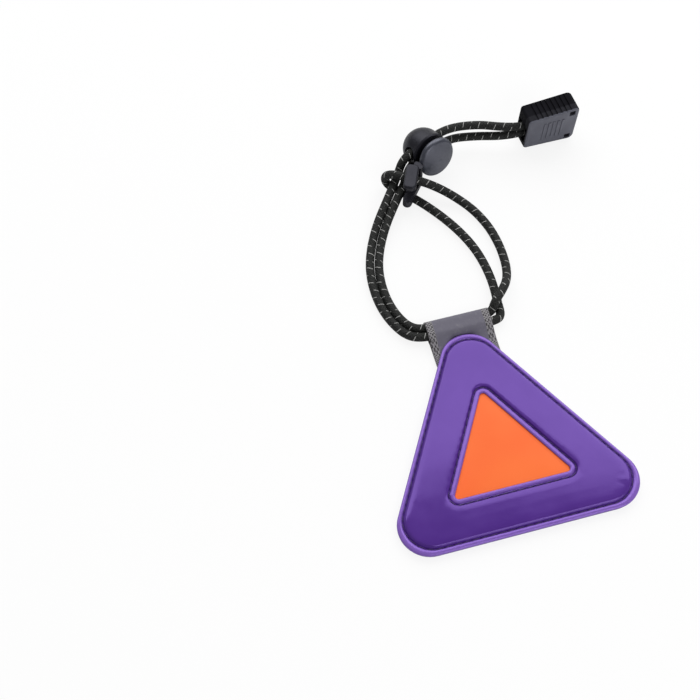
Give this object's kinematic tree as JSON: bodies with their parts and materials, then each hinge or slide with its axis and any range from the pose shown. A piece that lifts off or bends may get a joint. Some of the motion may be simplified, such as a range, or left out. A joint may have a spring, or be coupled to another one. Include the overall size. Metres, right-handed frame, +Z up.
{
  "type": "triangular bicycle reflector",
  "caption": "Soft triangular reflector tag: quilted glossy film pad with a reflective window, ribbon strap, looped elastic cord, spring cord lock and flat cord end.",
  "frame": {"origin": "middle of the triangular pad on its flat back face", "axes": "+Z up out of the pad's front, +Y from the pad's middle towards the strap at its apex"},
  "size_m": [0.1031, 0.1507, 0.0171],
  "materials": {
    "film": "glossy translucent film",
    "foam": "soft closed-cell foam",
    "reflective": "bright reflective film",
    "thread": "sewing thread",
    "ribbon": "woven ribbon",
    "cord": "braided with light tracer yarns",
    "lock_plastic": "satin moulded plastic",
    "button_plastic": "satin moulded plastic",
    "spring_steel": "drawn wire",
    "end_plastic": "satin moulded plastic"
  },
  "bodies": {
    "tag": {"back_panel": "film", "foam_pad": "foam", "reflector_insert": "reflective", "front_panel": "film", "edge_thread": "thread", "window_thread": "thread", "back_thread": "thread", "strap": "ribbon", "elastic_cord": "cord", "lock_body": "lock_plastic", "lock_spring": "spring_steel", "cord_end_base": "end_plastic", "cord_end_cover": "end_plastic"},
    "button": {"lock_button": "button_plastic"}
  },
  "joints": [
    {"name": "button_press", "type": "slide", "parent": "tag", "child": "button", "axis": [-0.3877, 0.8708, -0.3024], "range_m": [0, 0.002], "stiffness_N_per_m": 800, "springref_m": -0.003, "deforming": ["lock_spring"]}
  ]
}
